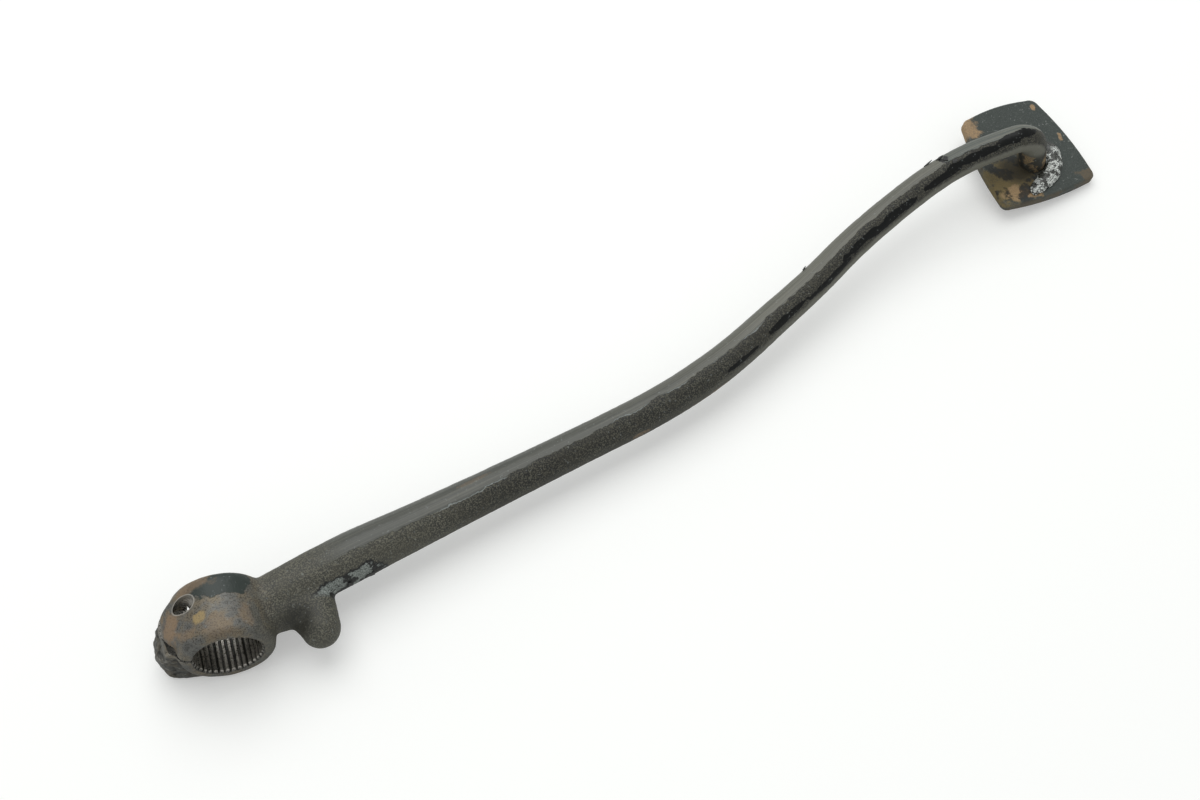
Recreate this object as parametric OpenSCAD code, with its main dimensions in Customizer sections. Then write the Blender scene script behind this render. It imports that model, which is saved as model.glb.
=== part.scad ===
// Motorcycle brake pedal: a forged arm with a split, serrated clamp boss and a
// short stop peg, and a pressed foot plate welded to its bent end.
// The pedal lies as it rests on a table, with the back of the foot plate upwards.
// Origin: centre of the serrated bore. The bore runs along Y and the arm along +X.
// Millimetres and degrees.

/* [Clamp boss] */
// Outer diameter of the clamp boss
boss_d = 25.4; // [24:0.2:30]
// Length of the boss along the bore
boss_length = 18; // [16:0.2:22]
// Bore diameter across the tooth tips
bore_tip_d = 17.4; // [15:0.2:18.4]
// Depth of the serrations
serration_depth = 0.5; // [0.3:0.05:0.7]
// Number of serrations
serration_count = 36; // [24:1:40]
// Width of the clamp slit
slit_width = 1.2; // [0.8:0.1:2]
// Tilt of the slit, up towards the open end
slit_tilt = 12; // [6:1:16]

/* [Pinch bolt] */
// Core diameter of the tapped hole
thread_core_d = 5; // [4.2:0.1:5.4]
// Diameter of the clearance hole in the lower jaw
bolt_clear_d = 6.6; // [5.5:0.1:7]
// Distance from the bore axis to the bolt axis
bolt_offset = 10.4; // [10.2:0.1:11.5]
// Tilt of the bolt axis from upright
bolt_tilt = 17; // [12:1:20]
// Place of the bolt along the bore
bolt_y = 3; // [1:0.2:3.4]
// How far the upper jaw stands out from the bore axis
upper_jaw_reach = 16.2; // [15.5:0.1:18]
// How far the lower jaw stands out from the bore axis
lower_jaw_reach = 18.9; // [18:0.1:21]

/* [Arm] */
// Reach from the bore axis to the elbow, along X
arm_reach = 260; // [230:5:300]
// Sideways offset of the elbow, along Y
arm_side = 89; // [75:1:100]
// Arm diameter where it leaves the boss
arm_root_d = 13.6; // [12.5:0.1:15]
// Arm diameter in the middle
arm_mid_d = 10.4; // [9:0.1:12]
// Arm diameter at the foot plate
arm_tip_d = 8.3; // [7:0.1:9]
// Height of the elbow above the bore axis
elbow_height = 8; // [4:0.5:12]
// Bend radius of the elbow at the centre of the arm
elbow_r = 6.5; // [5:0.5:8]

/* [Stop peg] */
// Diameter of the stop peg
peg_d = 10.6; // [8:0.2:12]
// Distance from the bore axis to the peg axis
peg_x = 24; // [22:0.5:28]
// How far the peg stands out past the middle of the boss
peg_length = 12; // [10:0.5:18]

/* [Foot plate] */
// Length of the plate across the arm's end
foot_depth = 32.5; // [28:0.5:40]
// Width at the plate's narrow end
foot_narrow_w = 27; // [24:0.5:32]
// Width at the plate's wide end
foot_wide_w = 34; // [30:0.5:42]
// Plate thickness
foot_t = 3.2; // [2.5:0.1:5]
// Corner radius in plan
foot_corner_r = 3; // [2:0.25:5]
// Outward bow of each side
foot_bow = 1; // [0.4:0.1:2]
// Rounding of the plate's worn edges
foot_edge = 0.6; // [0.3:0.1:1]
// Number of grip grooves in the tread face
groove_count = 6; // [3:1:8]
// Width of a grip groove
groove_width = 1.4; // [0.8:0.1:2]
// Depth of a grip groove
groove_depth = 0.6; // [0.3:0.1:1]

/* [Weld] */
// Height of the weld bead
bead_h = 2.8; // [2:0.1:4]
// Width of the weld bead
bead_w = 5.8; // [4:0.1:7]
// Angle that the bead runs around the arm's end
bead_sweep = 197; // [120:1:220]

/* [Hidden] */
$fn = 64;

boss_r = boss_d / 2;
boss_edge = 2;
tip_r = bore_tip_d / 2;
root_r = tip_r + serration_depth;
mouth_r = root_r + 0.2;
bore_chamfer = 0.8;
// Shares of a tooth's pitch: the round land at its tip, and the groove's floor.
tooth_land = 0.5;
groove_floor = 0.2;
clear_r = bolt_clear_d / 2;
// Radius and depth of the bolt head's seat.
head_seat_r = clear_r + 1.9;
head_seat_at = 13.2;
peg_z = -2;
web_r = 6.6;

// The arm's middle line: hand-set stations, stretched to the reach and offset.
route = [
    [0, -0.5, 0], [35, 10.5, -1], [82, 22.5, -2], [124, 33.5, -2.5], [152, 44.5, -2],
    [182, 61, 0], [216, 79.5, 3.5], [240, 87.5, 6], [260, 89, 8]
];
last = len(route) - 1;
stretch = [arm_reach / route[last][0], arm_side / route[last][1], elbow_height / route[last][2]];
stations = [for (p = route) [p[0] * stretch[0], p[1] * stretch[1], p[2] * (p[2] > 0 ? stretch[2] : 1)]];
taper_x = 105 * stretch[0];
waist_x = 142 * stretch[0];
root_x = 35 * stretch[0];
root_power = 1.6;
tip_power = 0.8;
station_steps = 5;
elbow_steps = 7;
arm_sides = 24;
arm_start = 5;

// Where the arm's end meets the plate, as a step from the elbow, and how the plate lies.
drop = [2.4, 0.4, -14];
seat = [arm_reach, arm_side, elbow_height] + drop;
foot_tilt = [6, 7.5, 0];
foot_turn = [0, 0, 10.5];
seat_on_plate = [-0.1, -4.5, 0];
side_steps = 8;
corner_steps = 6;
// Plain margins of the tread face, before the first groove and at its sides.
tread_margin = 4;
tread_side = 3;

// The bead's middle line about the arm's end, before the sweep is set: the angle,
// and the distance out from the arm's wall.
bead_line = [
    [75, 0.9], [40, 2.4], [8, 3.4], [-25, 2.5], [-60, 2.5], [-90, 3.4], [-112, 5.6], [-122, 8.2]
];
bead_from = bead_line[0][0];
bead_spread = bead_sweep / (bead_from - bead_line[len(bead_line) - 1][0]);
bead_path = [for (p = bead_line)
    [bead_from + (p[0] - bead_from) * bead_spread, p[1] + arm_tip_d / 2]];
bead_steps = 5;
bead_sides = 12;

// Unit vector along v.
function unit(v) = v / norm(v);

// Point at u from p1 to p2 on a curve that also passes p0 before and p3 after.
function curve_at(p0, p1, p2, p3, u) =
    0.5 * (2 * p1 + (p2 - p0) * u + (2 * p0 - 5 * p1 + 4 * p2 - p3) * u * u
        + (3 * p1 - p0 - 3 * p2 + p3) * u * u * u);

// Points of an open curve through pts, with steps from one to the next.
function open_curve(pts, steps) =
    let (n = len(pts) - 1)
    [for (i = [0 : n - 1]) for (k = [0 : steps - 1])
        let (
            p1 = pts[i],
            p2 = pts[i + 1],
            p0 = i > 0 ? pts[i - 1] : 2 * p1 - p2,
            p3 = i + 1 < n ? pts[i + 2] : 2 * p2 - p1
        )
        curve_at(p0, p1, p2, p3, k / steps)];

// Points of a closed curve through pts.
function closed_curve(pts, steps) =
    let (n = len(pts))
    [for (i = [0 : n - 1]) for (k = [0 : steps - 1])
        curve_at(pts[(i + n - 1) % n], pts[i], pts[(i + 1) % n], pts[(i + 2) % n], k / steps)];

// The elbow: a round bend from one straight run to the next about their corner.
function bend(corner, into, out, r, steps) =
    let (
        angle = acos(into * out),
        reach = r * tan(angle / 2),
        start = corner - into * reach,
        across = unit(out - into * (into * out))
    )
    [for (k = [0 : steps])
        let (a = angle * k / steps)
        start + into * r * sin(a) + across * r * (1 - cos(a))];

// Diameter of the arm at a distance x along its reach.
function arm_d_at(x) =
    x < taper_x
        ? arm_mid_d + (arm_root_d - arm_mid_d)
            * min(1, pow((taper_x - x) / (taper_x - root_x), root_power))
        : x < waist_x
            ? arm_mid_d
            : arm_mid_d + (arm_tip_d - arm_mid_d)
                * pow(min(1, (x - waist_x) / (arm_reach - waist_x)), tip_power);

corner = stations[last];
run_dir = unit(corner - stations[last - 1]);
drop_dir = unit(seat - corner);
bend_pts = bend(corner, run_dir, drop_dir, elbow_r, elbow_steps);
bend_gap = norm(corner - bend_pts[0]) + 1;
arm_line = concat(
    [for (p = open_curve(stations, station_steps))
        if (p[0] > arm_start && (corner - p) * run_dir > bend_gap) p],
    bend_pts,
    [seat + drop_dir * 3]
);

// A round tube along a line, with its diameter taken from arm_d_at.
module swept_arm() {
    n = len(arm_line);
    ring = [for (i = [0 : n - 1])
        let (
            t = unit(arm_line[min(i + 1, n - 1)] - arm_line[max(i - 1, 0)]),
            side = unit([-0.3, 1, 0] - t * ([-0.3, 1, 0] * t)),
            lift = cross(t, side),
            r = arm_d_at(arm_line[i][0]) / 2
        )
        for (k = [0 : arm_sides - 1])
            arm_line[i] + side * r * cos(360 * k / arm_sides) + lift * r * sin(360 * k / arm_sides)];
    walls = [for (i = [0 : n - 2]) for (k = [0 : arm_sides - 1])
        let (a = i * arm_sides + k, b = i * arm_sides + (k + 1) % arm_sides)
        [a, a + arm_sides, b + arm_sides, b]];
    caps = [
        [for (k = [0 : arm_sides - 1]) k],
        [for (k = [arm_sides - 1 : -1 : 0]) (n - 1) * arm_sides + k]
    ];
    polyhedron(ring, concat(walls, caps));
}

// The straight end of the arm, from above the plate to past its face.
module arm_end() {
    lean = acos(-drop_dir[2]);
    translate(seat) rotate([0, 0, atan2(drop_dir[1], drop_dir[0])]) rotate([0, -lean, 0])
        translate([0, 0, -arm_tip_d / 2]) cylinder(h = 1.5 * arm_tip_d, d = arm_tip_d);
}

// The arm, trimmed where its root would stand past the boss's machined back face.
module arm() {
    difference() {
        swept_arm();
        along_bore() translate([0, 0, boss_length / 2 - 0.5])
            cylinder(h = boss_length, r = boss_r - boss_edge / 2);
    }
}

// A round slug along Z with rounded ends: a square profile with round corners.
module slug(r, low, high, low_edge, high_edge) {
    rotate_extrude() {
        translate([0, low]) square([r - low_edge, high - low]);
        translate([0, low]) square([r - high_edge, high - low]);
        translate([0, low + low_edge]) square([r, high - low - low_edge - high_edge]);
        translate([r - low_edge, low + low_edge]) circle(low_edge);
        translate([r - high_edge, high - high_edge]) circle(high_edge);
    }
}

// Turns a shape from standing along Z to lying along the bore.
module along_bore() {
    rotate([-90, 0, 0]) children();
}

// A forged lug: its side outline (X, Z) met by its plan outline (X, Y).
module lug(side_view, plan_view) {
    intersection() {
        rotate([90, 0, 0]) linear_extrude(2 * boss_length, center = true)
            polygon(closed_curve(side_view, 4));
        linear_extrude(4 * boss_r, center = true) polygon(closed_curve(plan_view, 4));
    }
}

// The upper clamp jaw: a nose about the pinch bolt, drawn back to the boss.
module upper_jaw() {
    tip = -upper_jaw_reach;
    top = boss_r;
    lug(
        [
            [-3, top - 1.3], [-8, top - 2.7], [-11, top - 4.9], [tip + 2.2, 5], [tip + 0.4, 2.4],
            [tip + 0.4, 0], [-8, -4], [-2, 0], [-1, 8]
        ],
        [
            [-2, -6.4], [-9.5, -6.8], [tip + 4, -5], [tip + 1.2, -1.8], [tip, 1.4], [tip + 1, 4],
            [tip + 4, 6.2], [-8, 6.8], [-2, 6.4]
        ]
    );
}

// The lower clamp jaw: a bulkier nose that takes the bolt's head.
module lower_jaw() {
    tip = -lower_jaw_reach;
    low = -boss_r;
    lug(
        [
            [-2, -2], [-8, 2], [tip + 4.8, 2.6], [tip + 2.4, -0.6], [tip + 0.4, -4], [tip + 0.2, -8],
            [tip + 1.4, -11], [tip + 4, low + 0.3], [-10, low + 0.3], [-3, low + 1]
        ],
        [
            [-2, -6.6], [-9.5, -6.8], [tip + 5, -6], [tip + 1.6, -4.6], [tip, -1.6], [tip + 0.2, 1.6],
            [tip + 2.4, 4.8], [-10, 6.8], [-2, 6.6]
        ]
    );
}

// The web from the boss to the foot of the stop peg.
module root_web() {
    hull() {
        translate([boss_r - web_r + 0.4, -0.2, -0.5]) sphere(web_r, $fn = 32);
        translate([peg_x - 0.3, -0.6, peg_z + 0.4]) sphere(peg_d / 2 + 0.2, $fn = 32);
    }
}

// The stop peg, with a domed end.
module stop_peg() {
    dome = -peg_length + peg_d / 2;
    translate([peg_x, 0, peg_z]) {
        translate([0, dome, 0]) sphere(d = peg_d);
        along_bore() translate([0, 0, dome]) cylinder(h = peg_length, d = peg_d);
    }
}

// Angle of the groove at or past a, forward or back.
function groove_near(a, forward) =
    let (pitch = 360 / serration_count, k = a / pitch - 0.5)
    ((forward ? ceil(k) : floor(k)) + 0.5) * pitch;

// The bore's section: grooves between teeth that end in round lands. The lands
// are flat over the sector where the bolt crosses the bore.
module bore_section() {
    pitch = 360 / serration_count;
    land = pitch * tooth_land / 2;
    floor_at = (pitch - pitch * groove_floor) / 2;
    lap = 0.1;
    lap_turn = lap / serration_depth * (floor_at - land);
    bolt_way = 180 - bolt_tilt;
    crossing = acos(min(1, (bolt_offset - clear_r) / tip_r)) + 2;
    flat_from = groove_near(bolt_way - crossing, false);
    flat_to = groove_near(bolt_way + crossing, true);
    polygon([
        for (k = [0 : serration_count - 1])
            let (
                a = k * pitch,
                flat = a > flat_from && a < flat_to,
                r = flat ? tip_r : tip_r - lap,
                half = flat ? land : land - lap_turn
            )
            each [
                r * [cos(a - half), sin(a - half)],
                r * [cos(a + half), sin(a + half)],
                root_r * [cos(a + floor_at), sin(a + floor_at)],
                root_r * [cos(a + pitch - floor_at), sin(a + pitch - floor_at)]
            ]
    ]);
    difference() {
        circle(tip_r);
        rotate((flat_from + flat_to) / 2) translate([tip_r * cos((flat_to - flat_from) / 2), -boss_r])
            square(2 * boss_r);
    }
}

// The serrated bore, with a chamfer at each mouth.
module serrated_bore() {
    rotate([90, 0, 0]) linear_extrude(2 * boss_length, center = true) bore_section();
    for (side = [-1, 1]) along_bore() translate([0, 0, side * boss_length / 2]) cylinder(
        h = 2 * bore_chamfer,
        r1 = mouth_r - side * bore_chamfer,
        r2 = mouth_r + side * bore_chamfer,
        center = true
    );
}

// The slit that lets the boss close on its shaft.
module clamp_slit() {
    reach = lower_jaw_reach + boss_edge;
    rotate([0, slit_tilt, 0]) translate([-reach, -boss_length, -slit_width / 2])
        cube([reach - tip_r / 2, 2 * boss_length, slit_width]);
}

// The pinch bolt's hole: tapped above the slit, clear below it, with a head seat.
module pinch_hole() {
    core_r = thread_core_d / 2;
    top = 2 * boss_r;
    rotate([0, bolt_tilt, 0]) translate([-bolt_offset, bolt_y, 0]) rotate_extrude() polygon([
        [0, -top], [head_seat_r, -top], [head_seat_r, -head_seat_at], [clear_r, -head_seat_at],
        [clear_r, 0], [core_r, 0], [core_r, top], [0, top]
    ]);
}

// Puts a shape made on the plate's own axes in its place at the arm's end.
module on_plate() {
    translate(seat) rotate(foot_tilt) rotate(foot_turn) translate(-seat_on_plate) children();
}

module pedal_arm() {
    color([0.17, 0.18, 0.17]) difference() {
        union() {
            along_bore() slug(boss_r, -boss_length / 2, boss_length / 2, boss_edge, boss_edge);
            upper_jaw();
            lower_jaw();
            root_web();
            stop_peg();
            arm();
        }
        serrated_bore();
        clamp_slit();
        pinch_hole();
        on_plate() translate([-foot_wide_w, -foot_wide_w, -boss_d])
            cube([2 * foot_wide_w, 2 * foot_wide_w, boss_d]);
    }
}

// Points along one bowed side, from a to b, standing out by the bow.
function side_pts(a, b, bow) =
    let (out = unit([b[1] - a[1], a[0] - b[0]]))
    [for (k = [0 : side_steps])
        let (u = k / side_steps)
        a + (b - a) * u + out * bow * 4 * u * (1 - u)];

// The plate's outline: four bowed sides, with each corner rounded by a curve
// that leaves one side and joins the next.
function foot_outline(inset) =
    let (
        d = foot_depth / 2 - inset,
        n = foot_narrow_w / 2 - inset,
        w = foot_wide_w / 2 - inset,
        corners = [[-w, -d], [w, -d], [n, d], [-n, d]],
        cut = foot_corner_r
    )
    [for (i = [0 : 3])
        let (
            c = corners[i],
            next = corners[(i + 1) % 4],
            back = corners[(i + 3) % 4],
            from = c + unit(back - c) * cut,
            to = c + unit(next - c) * cut,
            rounded = [for (k = [0 : corner_steps - 1])
                let (u = k / corner_steps)
                from * (1 - u) * (1 - u) + c * 2 * u * (1 - u) + to * u * u],
            far = next + unit(c - next) * cut
        )
        each concat(rounded, side_pts(to, far, foot_bow))];

// A plate between two faces with its edges rounded over, as stacked outlines.
module pressed_plate() {
    turn = foot_edge * 0.3;
    layers = [
        [-foot_t, foot_edge], [-foot_t + turn, turn], [-foot_t + foot_edge, 0],
        [-foot_edge, 0], [-turn, turn], [0, foot_edge]
    ];
    m = len(foot_outline(0));
    pts = [for (l = layers) for (p = foot_outline(l[1])) [p[0], p[1], l[0]]];
    walls = [for (i = [0 : len(layers) - 2]) for (k = [0 : m - 1])
        let (a = i * m + k, b = i * m + (k + 1) % m)
        [a, a + m, b + m, b]];
    caps = [[for (k = [0 : m - 1]) k], [for (k = [m - 1 : -1 : 0]) (len(layers) - 1) * m + k]];
    polyhedron(pts, concat(walls, caps));
}

module foot_plate() {
    pitch = (foot_depth - 2 * tread_margin) / (groove_count - 1);
    color([0.22, 0.24, 0.23]) on_plate() difference() {
        pressed_plate();
        for (k = [0 : groove_count - 1])
            translate([0, -foot_depth / 2 + tread_margin + k * pitch, -foot_t])
                cube([foot_narrow_w - 2 * tread_side, groove_width, 2 * groove_depth], center = true);
    }
}

// The weld bead: laid around the front of the arm's end, thin at both ends and
// rippled along its length, flat where it lies on the plate.
module weld_run() {
    line = concat(open_curve(bead_path, bead_steps), [bead_path[len(bead_path) - 1]]);
    count = len(line) - 1;
    place = [for (p = line) [p[1] * cos(p[0]), p[1] * sin(p[0])]];
    ring = [for (k = [0 : count])
        let (
            ahead = unit(place[min(k + 1, count)] - place[max(k - 1, 0)]),
            out = [-ahead[1], ahead[0]],
            ripple = 1 + 0.05 * cos(360 * k / bead_steps),
            full = pow(sin(180 * (k + 0.6) / (count + 1.2)), 0.38) * ripple,
            wide = bead_w / 2 * full,
            high = bead_h * full
        )
        for (a = [0 : bead_sides]) let (t = 180 * a / bead_sides)
            concat(place[k] + out * wide * cos(t), high * sin(t))];
    m = bead_sides + 1;
    walls = [for (k = [0 : count - 1]) for (a = [0 : m - 1])
        let (p = k * m + a, q = k * m + (a + 1) % m)
        [p, p + m, q + m, q]];
    caps = [[for (a = [0 : m - 1]) a], [for (a = [m - 1 : -1 : 0]) count * m + a]];
    polyhedron(ring, concat(walls, caps));
}

module weld_bead() {
    color([0.3, 0.3, 0.28]) difference() {
        on_plate() translate(seat_on_plate) weld_run();
        arm_end();
    }
}

pedal_arm();
foot_plate();
weld_bead();
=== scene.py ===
"""Dresses a worn motorcycle brake pedal that lies on a pale table.

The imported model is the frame. The forging and its weld are rebuilt with smooth
blends over the same space, and every surface gets its worn paint, dirt and rust.
"""

import logging
import math
from dataclasses import dataclass, field
from enum import Enum
from functools import reduce
from typing import Callable, Sequence

import bmesh
import bpy
import numpy as np
from mathutils import Matrix, Vector

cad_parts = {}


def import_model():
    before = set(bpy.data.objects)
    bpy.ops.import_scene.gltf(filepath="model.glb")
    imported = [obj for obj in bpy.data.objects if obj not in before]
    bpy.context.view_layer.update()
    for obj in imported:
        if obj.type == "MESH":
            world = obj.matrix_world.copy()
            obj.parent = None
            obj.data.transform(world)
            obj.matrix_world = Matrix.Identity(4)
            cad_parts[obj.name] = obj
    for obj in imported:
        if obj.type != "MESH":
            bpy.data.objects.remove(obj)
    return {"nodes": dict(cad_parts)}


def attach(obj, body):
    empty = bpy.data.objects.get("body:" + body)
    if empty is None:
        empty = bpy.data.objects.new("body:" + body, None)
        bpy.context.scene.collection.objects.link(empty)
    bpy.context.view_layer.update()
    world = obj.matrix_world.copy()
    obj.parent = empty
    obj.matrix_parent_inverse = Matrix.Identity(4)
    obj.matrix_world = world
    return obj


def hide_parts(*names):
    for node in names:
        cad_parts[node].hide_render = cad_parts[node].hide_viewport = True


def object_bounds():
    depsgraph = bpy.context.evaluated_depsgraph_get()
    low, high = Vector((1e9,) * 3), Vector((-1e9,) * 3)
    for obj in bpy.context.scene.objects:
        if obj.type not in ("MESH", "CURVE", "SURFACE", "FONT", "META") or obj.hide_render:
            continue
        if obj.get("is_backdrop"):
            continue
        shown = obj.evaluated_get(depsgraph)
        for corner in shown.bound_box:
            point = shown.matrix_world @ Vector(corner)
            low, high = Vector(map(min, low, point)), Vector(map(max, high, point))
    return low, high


log = logging.getLogger("brake_pedal")

MM = 0.001
WELD_GAP = 6e-6

Colour = tuple[float, float, float]
Point = tuple[float, float, float]


class Slot(Enum):
    """Names of the material slots."""

    ARM = "arm_paint"
    PLATE = "plate_paint"
    WELD = "weld_metal"


class Carve(Enum):
    """Whether a block is taken from a shape or bounds it."""

    CUT = "DIFFERENCE"
    KEEP = "INTERSECT"


def stand(name: str, data: bpy.types.ID) -> bpy.types.Object:
    """Makes an object of some data and links it to the scene."""
    piece = bpy.data.objects.new(name, data)
    bpy.context.scene.collection.objects.link(piece)
    return piece


def object_of(name: str, made: bmesh.types.BMesh) -> bpy.types.Object:
    """Turns a bmesh into an object of the scene.

    Args:
        name: The object's name.
        made: The bmesh, which is freed.

    Returns:
        The object.
    """
    mesh = bpy.data.meshes.new(name)
    made.to_mesh(mesh)
    made.free()
    return stand(name, mesh)


def block(name: str, build: Callable[[bmesh.types.BMesh], None]) -> bpy.types.Object:
    """Makes a mesh object from a bmesh that a function fills, in millimetres.

    Args:
        name: The object's name.
        build: A function that fills the bmesh.

    Returns:
        The object, with its mesh in metres.
    """
    made = bmesh.new()
    build(made)
    bmesh.ops.remove_doubles(made, verts=made.verts[:], dist=1e-4)
    bmesh.ops.recalc_face_normals(made, faces=made.faces[:])
    bmesh.ops.scale(made, vec=(MM, MM, MM), verts=made.verts[:])
    return object_of(name, made)


def settle(piece: bpy.types.Object) -> bpy.types.Object:
    """Replaces a piece's mesh by what its modifiers make of it, and drops them.

    Args:
        piece: The object whose modifiers are used up.

    Returns:
        The same object.
    """
    graph = bpy.context.evaluated_depsgraph_get()
    mesh = bpy.data.meshes.new_from_object(piece.evaluated_get(graph))
    piece.modifiers.clear()
    old = piece.data
    piece.data = mesh
    bpy.data.meshes.remove(old)
    return piece


def discard(piece: bpy.types.Object) -> None:
    """Removes a helper object and its mesh."""
    mesh = piece.data
    bpy.data.objects.remove(piece)
    bpy.data.meshes.remove(mesh)


def combine(piece: bpy.types.Object, tool: bpy.types.Object, how: Carve) -> bpy.types.Object:
    """Cuts or bounds one piece with another, which is then discarded.

    Args:
        piece: The piece that is changed.
        tool: The closed shape that it is combined with.
        how: Cut or keep.

    Returns:
        The changed piece.
    """
    made = piece.modifiers.new("combine", "BOOLEAN")
    made.operation = how.value
    made.solver = "EXACT"
    made.object = tool
    settle(piece)
    discard(tool)
    return piece


def join(name: str, pieces: Sequence[bpy.types.Object]) -> bpy.types.Object:
    """Puts several pieces' meshes into one object.

    Args:
        name: The new object's name.
        pieces: The pieces, which are discarded.

    Returns:
        The object that holds them all.
    """
    made = bmesh.new()
    for piece in pieces:
        made.from_mesh(piece.data)
        discard(piece)
    return object_of(name, made)


def paint(piece: bpy.types.Object, finish: bpy.types.Material) -> None:
    """Gives a piece one material in place of any other."""
    piece.data.materials.clear()
    piece.data.materials.append(finish)


def read_points(mesh: bpy.types.Mesh, name: str = "co") -> np.ndarray:
    """Reads the places of a mesh's points, or their normals.

    Args:
        mesh: The mesh.
        name: Either co or normal.

    Returns:
        One row for each point.
    """
    rows = np.empty(len(mesh.vertices) * 3)
    mesh.vertices.foreach_get(name, rows)
    return rows.reshape(-1, 3)


def weigh(piece: bpy.types.Object, name: str, weights: np.ndarray, levels: int) -> str:
    """Stores a weight for each point as a vertex group.

    Args:
        piece: The piece.
        name: The group's name.
        weights: The weights, from 0 to 1.
        levels: Steps that the weights are rounded to.

    Returns:
        The group's name.
    """
    group = piece.vertex_groups.new(name=name)
    for level in range(1, levels + 1):
        picked = np.nonzero(np.rint(weights * levels) == level)[0]
        if len(picked):
            group.add(picked.tolist(), level / levels, "REPLACE")
    return group.name


def even_skin(piece: bpy.types.Object, voxel: float) -> None:
    """Adds a remesh to one closed skin of even faces, of a size in millimetres."""
    remesh = piece.modifiers.new("even_skin", "REMESH")
    remesh.mode = "VOXEL"
    remesh.voxel_size = voxel * MM


def soften(piece: bpy.types.Object, rounds: int, group: str = "") -> None:
    """Adds rounds of smoothing, everywhere or by a vertex group."""
    smooth = piece.modifiers.new("soften", "SMOOTH")
    smooth.factor = 0.5
    smooth.iterations = rounds
    smooth.vertex_group = group


def dent(piece: bpy.types.Object, name: str, size: float, depth: float, group: str = "") -> None:
    """Adds an uneven skin: soft dents everywhere, or hard scars by a vertex group.

    Args:
        piece: The piece.
        name: The noise's name.
        size: A dent's size, in millimetres.
        depth: How far the skin is moved, in millimetres.
        group: The vertex group that bounds the scars.
    """
    grain = bpy.data.textures.new(name, "CLOUDS")
    grain.noise_scale = size * MM
    grain.noise_type = "HARD_NOISE" if group else "SOFT_NOISE"
    dents = piece.modifiers.new(name, "DISPLACE")
    dents.texture = grain
    dents.texture_coords = "LOCAL"
    dents.strength = depth * MM
    dents.mid_level = 0.5 if group else 0.6
    dents.vertex_group = group


def clean_skin(piece: bpy.types.Object, smallest: int = 400) -> None:
    """Merges doubled points and drops the loose scraps that cuts leave.

    Args:
        piece: The piece whose mesh is cleaned.
        smallest: Fewest faces that a connected stretch may have and stay.
    """
    made = bmesh.new()
    made.from_mesh(piece.data)
    bmesh.ops.remove_doubles(made, verts=made.verts[:], dist=WELD_GAP)
    bmesh.ops.dissolve_degenerate(made, edges=made.edges[:], dist=WELD_GAP)
    bmesh.ops.triangulate(made, faces=made.faces[:])
    bmesh.ops.dissolve_degenerate(made, edges=made.edges[:], dist=WELD_GAP)
    seen: set[bmesh.types.BMFace] = set()
    scraps = []
    for face in made.faces:
        if face in seen:
            continue
        seen.add(face)
        island = [face]
        for held in island:
            for edge in held.edges:
                for near in edge.link_faces:
                    if near not in seen:
                        seen.add(near)
                        island.append(near)
        if len(island) < smallest:
            scraps.extend(island)
    bmesh.ops.delete(made, geom=scraps, context="FACES")
    open_edges = [edge for edge in made.edges if edge.is_boundary]
    bmesh.ops.holes_fill(made, edges=open_edges, sides=12)
    loose = [corner for corner in made.verts if not corner.link_faces]
    bmesh.ops.delete(made, geom=loose, context="VERTS")
    bmesh.ops.triangulate(made, faces=made.faces[:])
    flaps = [face for face in made.faces if sum(len(edge.link_faces) == 1 for edge in face.edges) > 1]
    bmesh.ops.delete(made, geom=flaps, context="FACES")
    made.to_mesh(piece.data)
    made.free()


def along_bore() -> Matrix:
    """The turn that lays a shape standing on Z along the bore."""
    return Matrix.Rotation(math.radians(-90), 4, "X")


def add_cone(
    made: bmesh.types.BMesh, start: float, end: float, length: float, place: Matrix, sides: int = 48
) -> None:
    """Adds a closed cone or cylinder to a bmesh.

    Args:
        made: The bmesh.
        start: Its radius at the start.
        end: Its radius at the end.
        length: Its length.
        place: Where its middle stands, and its turn.
        sides: Sides round it.
    """
    bmesh.ops.create_cone(
        made, cap_ends=True, segments=sides, radius1=start, radius2=end, depth=length, matrix=place
    )


def add_ball(made: bmesh.types.BMesh, radius: float, at: Point, sides: int = 32) -> None:
    """Adds a ball to a bmesh, at a place in millimetres."""
    place = Matrix.Translation(at)
    bmesh.ops.create_uvsphere(made, u_segments=sides, v_segments=sides // 2, radius=radius, matrix=place)


def points_of(geometry: Sequence[object]) -> list[bmesh.types.BMVert]:
    """The points among the parts that a bmesh operator gives back."""
    return [part for part in geometry if isinstance(part, bmesh.types.BMVert)]


def extrude_outline(made: bmesh.types.BMesh, outline: Sequence[Point], way: Vector) -> None:
    """Makes a prism from a flat outline.

    Args:
        made: The bmesh that gets the prism.
        outline: The outline's corners, in order.
        way: How far and which way the outline is drawn out.
    """
    face = made.faces.new([made.verts.new(p) for p in outline])
    drawn = bmesh.ops.extrude_face_region(made, geom=[face])
    bmesh.ops.translate(made, vec=way, verts=points_of(drawn["geom"]))


def between(four: Sequence[Vector | np.ndarray], u: float) -> Vector | np.ndarray:
    """A point on the smooth curve through four others.

    Args:
        four: The points. The result lies between the second and the third.
        u: The share of the way from the second to the third.

    Returns:
        The point.
    """
    a, b, c, d = four
    bend = (2 * a - 5 * b + 4 * c - d) * u * u
    twist = (3 * b - a - 3 * c + d) * u**3
    return 0.5 * (2 * b + (c - a) * u + bend + twist)


def smooth_outline(points: Sequence[tuple[float, float]], steps: int) -> list[tuple[float, float]]:
    """Runs a smooth closed curve through given points.

    Args:
        points: The points that the curve passes through.
        steps: Steps from one point to the next.

    Returns:
        The curve's points.
    """
    n = len(points)
    curve = []
    for i in range(n):
        four = [Vector(points[(i + k) % n]) for k in (-1, 0, 1, 2)]
        curve.extend(tuple(between(four, k / steps)) for k in range(steps))
    return curve


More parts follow.
